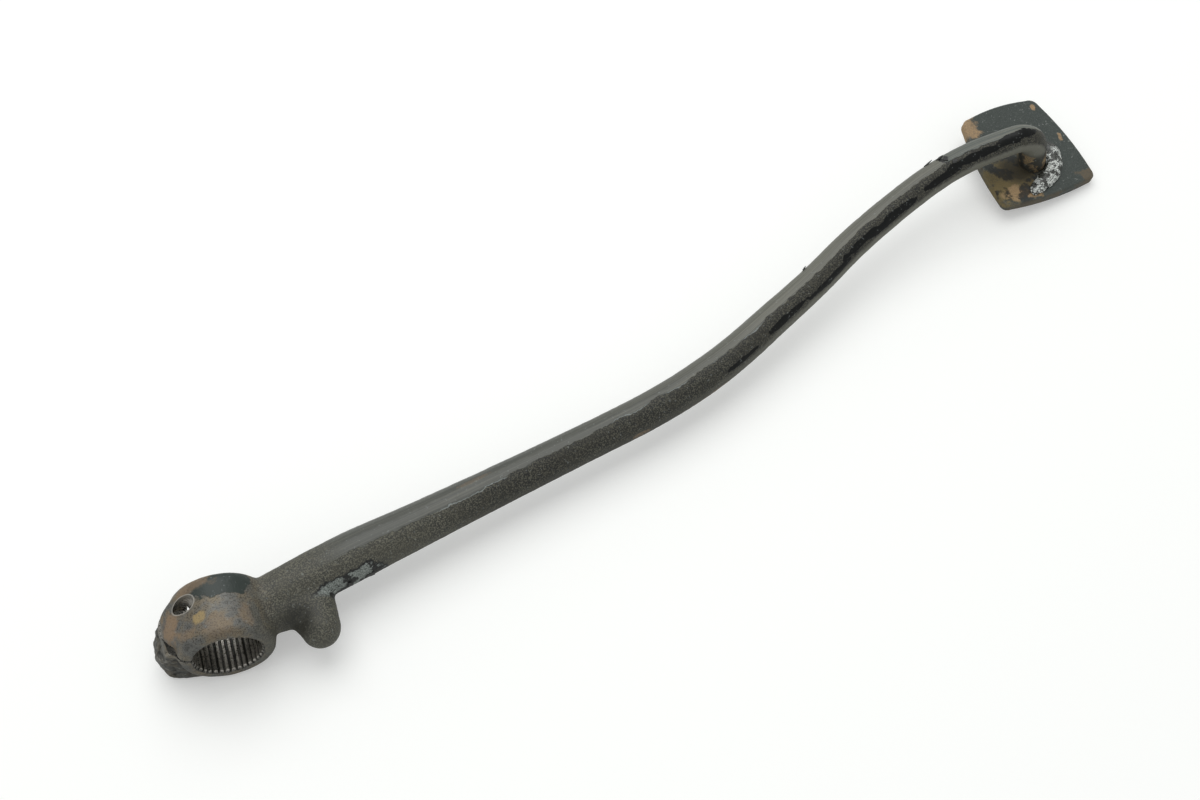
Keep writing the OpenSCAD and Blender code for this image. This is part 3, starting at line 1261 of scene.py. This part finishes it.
class Coat:
    """A finish in the making: its material, and what its layers add up to so far."""

    def __init__(self, name: str, shared: Shared | None = None) -> None:
        """Makes a material with a Principled shader.

        Args:
            name: The material's name.
            shared: The shared node groups, for a finish with grit.
        """
        self.material = bpy.data.materials.new(name)
        self.material.use_nodes = True
        self.sheet = Sheet(self.material.node_tree)
        self.sheet.tree.nodes.clear()
        self.shader = self.sheet.node("ShaderNodeBsdfPrincipled")
        out = self.sheet.node("ShaderNodeOutputMaterial")
        self.sheet.feed(out.inputs["Surface"], self.shader.outputs["BSDF"])
        self.place = self.sheet.node("ShaderNodeTexCoord").outputs["Object"]
        self.colour: object = (0.5, 0.5, 0.5)
        self.rough: object = 0.5
        self.metal: object = 0.0
        self.sheen: object = 0.5
        self.height: object = 0.0
        self.shared = shared
        if shared:
            grit = self.sheet.group(shared.grit, Place=self.place)
            self.grain, self.speck, self.stain, self.broad = grit.outputs

    def patch(
        self, where: object, centre: Point, reach: Point, ragged: float, soft: float
    ) -> bpy.types.NodeSocket:
        """A ragged patch.

        Args:
            where: The coordinates that it is measured in.
            centre: Its middle.
            reach: Its half size along each axis.
            ragged: How far the stains push its edge.
            soft: How soft its edge is.

        Returns:
            1 inside, 0 outside.
        """
        look = {"Noise": self.stain, "Ragged": ragged, "Soft": soft}
        made = self.sheet.group(self.shared.spot, Place=where, Centre=centre, Reach=reach, **look)
        return made.outputs["Mask"]

    def spot(self, at: Point, reach: Point, ragged: float, soft: float) -> bpy.types.NodeSocket:
        """A ragged patch at a place on the piece, in millimetres."""
        centre, size = (tuple(v * MM for v in point) for point in (at, reach))
        return self.patch(self.place, centre, size, ragged, soft)

    def lay(self, mask: object, colour: object = None, share: float = 1.0, **others: object) -> None:
        """Lays one layer over what is there.

        Args:
            mask: Where the layer lies, from 0 to 1.
            colour: Its colour, if it has one.
            share: How much its colour covers.
            **others: Its rough, metal, sheen or height.
        """
        if colour is not None:
            cover = mask if share == 1.0 else self.sheet.times(mask, share)
            self.colour = self.sheet.mix(cover, self.colour, colour)
        for name, value in others.items():
            setattr(self, name, self.sheet.blend(mask, getattr(self, name), value))

    def done(self, depth_mm: float = 0.0) -> bpy.types.Material:
        """Joins the layers to the shader.

        Args:
            depth_mm: How deep a height of 1 is, in millimetres, or 0 for no bump.

        Returns:
            The material.
        """
        feed, inputs = self.sheet.feed, self.shader.inputs
        feed(inputs["Base Color"], self.colour)
        feed(inputs["Metallic"], self.metal)
        feed(inputs["Specular IOR Level"], self.sheen)
        feed(inputs["Roughness"], self.rough)
        if depth_mm:
            bump = self.sheet.node("ShaderNodeBump")
            bump.inputs["Strength"].default_value = 1.0
            bump.inputs["Distance"].default_value = depth_mm * MM
            feed(bump.inputs["Height"], self.height)
            feed(inputs["Normal"], bump.outputs["Normal"])
        return self.material


@dataclass(frozen=True)
class ArmFinish:
    """Worn black paint, grit, bare steel and rust on the forging, with painted shade in its slit, saddle,
    bore and under the elbow, and a painted reflection on the arm's lower side.
    """

    grit_dark: Colour = (0.005, 0.006, 0.004)
    grit_light: Colour = (0.15, 0.146, 0.108)
    brown: Colour = (0.045, 0.04, 0.026)
    paint: Colour = (0.048, 0.053, 0.046)
    # Pale dust; on the arm's lower side it also stands for a painted reflection.
    dust_and_reflection: Colour = (0.17, 0.17, 0.138)
    slate: Colour = (0.085, 0.1, 0.09)
    gloss: Colour = (0.0035, 0.0045, 0.004)
    steel_warm: Colour = (0.185, 0.158, 0.112)
    steel_cool: Colour = (0.15, 0.152, 0.142)
    steel_dark: Colour = (0.03, 0.027, 0.021)
    green: Colour = (0.016, 0.026, 0.021)
    ochre: Colour = (0.33, 0.245, 0.11)
    rust: Colour = (0.24, 0.165, 0.098)
    chalk: Colour = (0.3, 0.33, 0.32)
    shell: Colour = (0.33, 0.365, 0.34)
    bright: Colour = (0.52, 0.5, 0.45)
    groove: Colour = (0.012, 0.012, 0.008)
    dark_root: Colour = (0.02, 0.019, 0.014)
    dull: Colour = (0.05, 0.048, 0.037)
    name: str = "worn_arm_paint"

    def build(self, shared: Shared) -> bpy.types.Material:
        """Makes the material.

        Args:
            shared: The shared node groups.

        Returns:
            The material.
        """
        coat = Coat(self.name, shared)
        sheet, grain, stain = coat.sheet, coat.grain, coat.stain
        ramp, times, plus, mix = sheet.ramp, sheet.times, sheet.plus, sheet.mix
        x, y, z = sheet.axes(coat.place)
        along, turn, _ = sheet.axes(sheet.attribute("arm_place").outputs["Vector"])
        wear = sheet.attribute("edge_wear").outputs["Fac"]
        on_arm = sheet.vector(along, turn)
        centred = plus(stain, -0.5)

        def strip(spec: Sequence[float], ragged: float = 2.0, soft: float = 0.08) -> bpy.types.NodeSocket:
            """A ragged patch on the arm: distance along, angle round, and half sizes."""
            at, turn_at, length, width = spec
            return coat.patch(on_arm, (at, turn_at, 0.0), (length, width, 1.0), ragged, soft)

        # Gritty ground: fine grains of dirt over dull black.
        tone = ramp(grain, 0.45, 0.62)
        coat.colour = mix(tone, self.grit_dark, self.grit_light)
        coat.lay(ramp(stain, 0.42, 0.65, 0, 0.4), self.brown)
        coat.lay(ramp(along, 85.0, 45.0, 0.0, 0.18), self.dust_and_reflection)
        coat.lay(ramp(along, 45.0, 85.0, 0.0, 0.4), self.grit_dark)
        coat.rough = ramp(grain, 0.3, 0.7, 0.45, 0.75)
        coat.height = grain

        # Smooth, dusty paint on the back and top of the arm, slate beyond the lip at the elbow.
        wander = times(centred, 34.0)
        edge_at = plus(turn, wander, ramp(along, 45.0, 140.0, 2.0, -10.0))
        painted = times(ramp(edge_at, -17.0, -14.5), ramp(along, 22.0, 36.0))
        streaky = sheet.noise(sheet.vector(times(along, 4e-5), times(turn, 5e-4)), 2.0, 4, 0.6)
        dust = times(ramp(along, 80.0, 205.0, 0.25, 0.85), ramp(streaky, 0.35, 0.6, 0.45, 1.0))
        dust = plus(dust, ramp(streaky, 0.52, 0.66, 0.0, 0.3))
        smooth = mix(dust, self.paint, self.dust_and_reflection)
        lip_at = plus(along, times(wander, 0.14))
        lit_slate = mix(ramp(streaky, 0.45, 0.62), self.slate, self.dust_and_reflection)
        smooth = mix(ramp(lip_at, 244.6, 245.2), smooth, lit_slate)
        lip = times(ramp(lip_at, 243.6, 244.2), ramp(lip_at, 245.4, 244.8))
        smooth = mix(lip, smooth, self.gloss)
        film = plus(times(grain, 0.25), 1.5)
        coat.lay(painted, smooth, rough=sheet.blend(dust, 0.32, 0.5), height=film)

        # The paint's chipped edge.
        chip = times(ramp(edge_at, -18.6, -17.2), ramp(edge_at, -14.6, -15.8), ramp(coat.broad, 0.44, 0.54))
        coat.lay(times(chip, ramp(along, 36.0, 42.0), ramp(along, 190.0, 170.0)), self.chalk, 0.8)

        # Pale band on the lower side of the arm towards its end: partly dust, partly a painted reflection
        # of the light on the gloss paint.
        coat.lay(times(ramp(edge_at, -72.0, -92.0), ramp(along, 120.0, 200.0, 0.1, 0.85)), self.dust_and_reflection)

        # Small spots of rust under the arm.
        for spec, share in (
            ((120, -92, 3.0, 10), 0.6), ((146, -112, 9.0, 15), 0.5), ((72, 20, 5.0, 8), 0.3)
        ):
            coat.lay(times(strip(spec), share, ramp(grain, 0.35, 0.55, 0.3, 1.0)), self.rust)

        # Thick gloss black, left in patches.
        patches = (
            (220, -50, 12, 17), (208, -42, 9, 13), (194, -58, 10, 12), (242, -46, 8, 15),
            (254, -36, 12, 16), (267, -22, 7, 22), (174, -50, 8, 11), (156, -58, 6, 9)
        )
        gloss = reduce(lambda a, b: sheet.maths("MAXIMUM", a, b), map(strip, patches))
        coat.lay(gloss, self.gloss, rough=0.3, height=2.4, sheen=0.22)

        # Peeled paint under the arm beside the peg, with dark pits.
        behind = ramp(y, -0.001, 0.001)
        torn, peeled = (times(strip((28, -94, *size), 1.6, 0.1), behind) for size in ((15, 42), (13, 36)))
        shell = mix(ramp(grain, 0.35, 0.65), self.slate, self.shell)
        shell = mix(ramp(stain, 0.5, 0.54), shell, self.gloss)
        coat.lay(torn, self.gloss)
        coat.lay(peeled, shell, 0.85, rough=0.5)

        # Boss: paint worn through to tinted steel.
        bare = ramp(plus(times(x, 1000.0), times(centred, 16.0)), 4.0, 15.0, 1.0, 0.0)
        steel = mix(ramp(stain, 0.4, 0.6), self.steel_warm, self.steel_cool)
        steel = mix(ramp(grain, 0.54, 0.34, 0.0, 0.75), steel, self.steel_dark)
        steel = mix(ramp(stain, 0.55, 0.7, 0.0, 0.6), steel, self.steel_dark)
        shine = ramp(grain, 0.3, 0.7, 0.34, 0.55)
        coat.lay(bare, steel, rough=shine, height=times(grain, 0.7), metal=0.45)

        # The green-black stain on the boss, and spots of ochre and rust.
        green = coat.spot((3.4, 5.2, 11.6), (9.6, 3.2, 4), 1.8, 0.1)
        coat.lay(green, self.green, rough=0.42, metal=0.0)
        coat.height = plus(coat.height, times(green, 0.8))
        for at, reach, tint, share in (
            ((-4.2, -2.6, 12), (1.5, 1.5, 3), self.ochre, 0.9),
            ((-12.8, -1, 6.5), (3.2, 4, 4), self.rust, 0.9),
            ((-8, -5.2, 9), (2.6, 1.6, 3), self.rust, 0.45), ((7, -4, 10), (2.5, 3, 3), self.rust, 0.35),
            ((-5, 7.5, 11), (5, 2.4, 3), self.rust, 0.6), ((0, -6, 11), (4, 3, 3), self.rust, 0.3)
        ):
            mark = times(coat.spot(at, reach, 3.0, 0.5), share, ramp(grain, 0.3, 0.5, 0.5, 1.0))
            coat.lay(mark, tint, metal=0.0, rough=0.7)

        # Painted shade in the saddle between the peg and the boss, where shade falls in the corner.
        coat.lay(coat.spot((19.5, -5, 2), (5, 4.5, 5), 0.6, 0.9), self.groove, 0.75)

        # Painted shade under the elbow, laid near black on the arm's end, with rust running down over it.
        under = times(ramp(x, 0.24, 0.25), ramp(z, 0.0035, 0.0))
        runs = times(under, ramp(stain, 0.5, 0.57, 0.0, 0.8), ramp(grain, 0.35, 0.55, 0.5, 1.0))
        # The painted shade under the elbow.
        coat.lay(under, self.groove, 0.85, rough=0.7)
        coat.lay(runs, mix(tone, self.rust, self.ochre))

        # The slit is painted near black inside: painted shade in the narrow gap.
        slant = math.radians(ClampBoss.slit_tilt)
        across = plus(times(x, math.sin(slant)), times(z, math.cos(slant)))
        slit = times(ramp(sheet.maths("ABSOLUTE", across), 0.0009, 0.00062), ramp(x, -0.008, -0.0088))
        coat.lay(slit, self.groove, metal=0.0, rough=0.8)

        # The pinch hole's rim is rubbed bright by the bolt.
        lean, off = math.radians(ClampBoss.bolt_tilt), ClampBoss.bolt_offset * MM
        bolt = (-off * math.cos(lean), ClampBoss.bolt_y * MM, off * math.sin(lean))
        axis = (math.sin(lean), 0.0, math.cos(lean))
        turned = sheet.vectors("CROSS_PRODUCT", sheet.vectors("SUBTRACT", coat.place, bolt), axis)
        rim = ramp(sheet.vectors("LENGTH", turned), 0.0026, 0.00245)
        coat.lay(times(rim, ramp(z, 0.006, 0.0085, 0.0, 0.6)), self.bright, metal=0.7)

        # The scarred lower jaw stays dark in its hollows.
        jaw = times(ramp(x, -0.0085, -0.0115), ramp(z, 0.0015, -0.0005))
        coat.lay(times(jaw, ramp(wear, 0.0, -0.06, 0.45, 0.95)), self.groove)

        # Bore: bright tooth tips and dark grooves, with painted shade deeper inside the bore and on its
        # side towards the jaws.
        radius = times(sheet.maths("SQRT", plus(times(x, x), times(z, z))), 1000.0)
        deep = ramp(radius, 8.76, 9.12)
        # Painted shade: darker deeper into the bore, and on the side of it towards the jaws.
        bore_shade = ramp(plus(y, times(centred, 0.03)), -0.0095, -0.005, 0.1, 0.93)
        bore_shade = sheet.maths("MAXIMUM", bore_shade, ramp(x, 0.0, -0.005, 0, 0.95))
        tooth = mix(bore_shade, mix(deep, self.bright, self.dark_root), mix(deep, self.dull, self.groove))
        coat.lay(ramp(radius, 9.5, 9.3), tooth, metal=ramp(deep, 0, 1, 0.9, 0.1), rough=0.34)

        # Proud edges rub bright where the paint is gone.
        rub = times(ramp(wear, 0.05, 0.15), ramp(grain, 0.38, 0.52), bare, 0.65)
        coat.lay(rub, self.bright, metal=0.8, rough=0.32)

        # Pale dust caught in the grains.
        coat.lay(coat.speck, self.chalk, 0.3)
        return coat.done(0.1)


@dataclass(frozen=True)
class FlakeFinish:
    """Plain black paint with a dull shine."""

    paint: Colour = (0.008, 0.009, 0.008)
    name: str = "loose_black_paint"

    def build(self) -> bpy.types.Material:
        """Makes the material."""
        coat = Coat(self.name)
        coat.colour, coat.rough = self.paint, 0.35
        return coat.done()


@dataclass(frozen=True)
class PlateFinish:
    """Worn black paint with specks, and rust at the plate's corners and edges."""

    paint: Colour = (0.033, 0.043, 0.038)
    paint_light: Colour = (0.068, 0.082, 0.072)
    speck: Colour = (0.3, 0.32, 0.3)
    rust: Colour = (0.4, 0.27, 0.145)
    brown: Colour = (0.12, 0.095, 0.06)
    ochre: Colour = (0.19, 0.145, 0.06)
    dark: Colour = (0.015, 0.015, 0.012)
    name: str = "worn_plate_paint"

    def build(self, shared: Shared) -> bpy.types.Material:
        """Makes the material.

        Args:
            shared: The shared node groups.

        Returns:
            The material.
        """
        coat = Coat(self.name, shared)
        sheet, grain, stain = coat.sheet, coat.grain, coat.stain
        ramp, times = sheet.ramp, sheet.times
        _, _, up = sheet.axes(sheet.node("ShaderNodeNewGeometry").outputs["Normal"])

        # Paint with pale specks.
        coat.colour = sheet.mix(ramp(grain, 0.4, 0.75), self.paint, self.paint_light)
        coat.rough = ramp(grain, 0.3, 0.7, 0.34, 0.55)
        coat.height = grain
        coat.lay(coat.speck, self.speck, 0.5)

        # Brown rust along the rim, and spots of it at the corners and by the weld.
        rim = times(ramp(up, 0.93, 0.75), ramp(stain, 0.35, 0.6))
        coat.lay(rim, self.brown, 0.8, rough=0.7)
        for at, reach, tone in (
            ((246.5, 106, -3), (4.2, 4.4, 4), self.rust), ((270.5, 108.5, -7), (0.7, 1.2, 4), self.rust),
            ((275, 97, -8), (0.9, 1.5, 4), self.rust), ((279, 82, -9), (3, 4, 4), self.brown),
            ((254, 84, -5), (8, 8, 4), self.ochre), ((250, 80, -5), (6, 3, 4), self.ochre),
            ((255, 79, -5), (6, 2.5, 4), self.rust)
        ):
            mark = times(coat.spot(at, reach, 3.4, 0.35), ramp(grain, 0.35, 0.6, 0.55, 0.95))
            coat.lay(mark, sheet.mix(ramp(stain, 0.52, 0.68), tone, self.brown), rough=0.78)

        # Dark streaks and shade round the weld.
        near = coat.spot((254, 84, -5), (11, 10, 4), 0.6, 0.4)
        coat.lay(times(ramp(stain, 0.5, 0.58), near), self.dark, 0.8)
        coat.lay(coat.spot((257, 88, -6), (6, 5, 4), 1.0, 0.6), self.dark, 0.75)
        return coat.done(0.06)


@dataclass(frozen=True)
class WeldFinish:
    """Lumpy weld under black paint that flakes off white."""

    paint: Colour = (0.012, 0.014, 0.013)
    metal: Colour = (0.11, 0.115, 0.1)
    flake: Colour = (0.76, 0.8, 0.76)
    name: str = "flaking_weld_paint"

    def build(self, shared: Shared) -> bpy.types.Material:
        """Makes the material.

        Args:
            shared: The shared node groups.

        Returns:
            The material.
        """
        coat = Coat(self.name, shared)
        sheet, grain = coat.sheet, coat.grain
        ramp = sheet.ramp
        _, y, _ = sheet.axes(coat.place)
        lump = sheet.noise(coat.place, 2.4, 3, 0.6)
        flake = sheet.times(ramp(lump, 0.46, 0.51), ramp(grain, 0.4, 0.52), ramp(y, 0.0925, 0.0905))
        coat.colour = sheet.mix(ramp(grain, 0.35, 0.7), self.paint, self.metal)
        coat.rough = 0.22
        coat.height = sheet.plus(grain, flake, coat.stain)
        coat.lay(flake, self.flake, rough=0.7)
        return coat.done(0.1)


@dataclass
class Studio:
    """The table, the light and the camera."""

    table_z: float = -12.7
    table_half: float = 4000
    table_colour: Colour = (0.72, 0.735, 0.715)
    table_glow: float = 0.31
    target: Point = (113.99, 46.81, -12.48)
    azimuth: float = -15.91
    elevation: float = 57.57
    distance: float = 539.23
    lens: float = 57.09
    sensor: float = 36
    sky: float = 0.56
    table_middle: tuple[float, float] = (113, 47)
    lamp_at: Point = (0.08, 0.5, 1.05)
    lamp_aim: Point = (0.12, 0.05, 0.0)
    lamp_size: float = 1.2
    lamp_power: float = 7.6

    def table(self) -> bpy.types.Object:
        """The pale table that the pedal lies on, with a glow that only the camera sees."""
        place = Matrix.Translation((*self.table_middle, self.table_z))
        grid = {"x_segments": 1, "y_segments": 1, "size": self.table_half, "matrix": place}
        piece = block("table", lambda made: bmesh.ops.create_grid(made, **grid))
        coat = Coat("pale_table")
        coat.colour, coat.rough = self.table_colour, 0.6
        seen = coat.sheet.node("ShaderNodeLightPath").outputs["Is Camera Ray"]
        glow = coat.sheet.times(seen, self.table_glow)
        coat.sheet.feed(coat.shader.inputs["Emission Color"], (1.0, 1.0, 1.0))
        coat.sheet.feed(coat.shader.inputs["Emission Strength"], glow)
        piece.data.materials.append(coat.done())
        piece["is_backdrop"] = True
        return piece

    def overhead(self) -> None:
        """The soft square lamp above the table."""
        light = bpy.data.lights.new("overhead", "AREA")
        light.shape = "SQUARE"
        light.size = self.lamp_size
        light.energy = self.lamp_power
        piece = stand("overhead", light)
        piece.location = self.lamp_at
        way = Vector(self.lamp_aim) - Vector(self.lamp_at)
        piece.rotation_euler = way.to_track_quat("-Z", "Y").to_euler()

    def sky_light(self) -> None:
        """Even light from all round."""
        world = bpy.data.worlds.new("studio")
        world.use_nodes = True
        ground = world.node_tree.nodes["Background"]
        ground.inputs["Color"].default_value = (1, 1, 1, 1)
        ground.inputs["Strength"].default_value = self.sky
        bpy.context.scene.world = world

    def camera(self) -> None:
        """The camera at the photograph's viewing angle."""
        held = bpy.data.cameras.new("camera")
        held.lens = self.lens
        held.sensor_width = self.sensor
        held.clip_start = 0.01
        held.clip_end = 20
        turn, rise = math.radians(self.azimuth), math.radians(self.elevation)
        flat = math.cos(rise)
        back = Vector((math.sin(turn) * flat, -math.cos(turn) * flat, math.sin(rise)))
        piece = stand("camera", held)
        piece.location = (Vector(self.target) + back * self.distance) * MM
        piece.rotation_euler = (-back).to_track_quat("-Z", "Y").to_euler()
        bpy.context.scene.camera = piece

    def build(self) -> None:
        """Sets up the table, light and camera."""
        self.camera()
        self.table()
        self.sky_light()
        self.overhead()
        bpy.context.scene.view_settings.view_transform = "Standard"


def corners(box: tuple[Vector, Vector]) -> list[list[float]]:
    """A box's corners as plain lists."""
    return [list(corner) for corner in box]


def main() -> None:
    """Builds the dressed pedal and its studio."""
    logging.basicConfig(level=logging.INFO, format="%(message)s")
    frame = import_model()
    packed_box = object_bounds()
    Studio().build()
    shared = Shared(spot_group(), grit_group())
    arm = ArmFinish().build(shared)
    plate = PlateFinish().build(shared)
    weld = WeldFinish().build(shared)
    forging = Forging().build(arm, packed_box)
    log.info("forging: %d faces", len(forging.data.polygons))
    bead = WeldBead().build(frame["nodes"]["weld_bead"], weld)
    log.info("weld: %d faces", len(bead.data.polygons))
    flakes = PaintFlakes().build(FlakeFinish().build())
    log.info("flakes: %d faces", len(flakes.data.polygons))
    foot = frame["nodes"]["foot_plate"]
    paint(foot, plate)
    log.info("foot plate: %d faces", len(foot.data.polygons))
    shown_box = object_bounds()
    {"cad": corners(packed_box), "visual": corners(shown_box)}


if __name__ == "__main__":
    main()
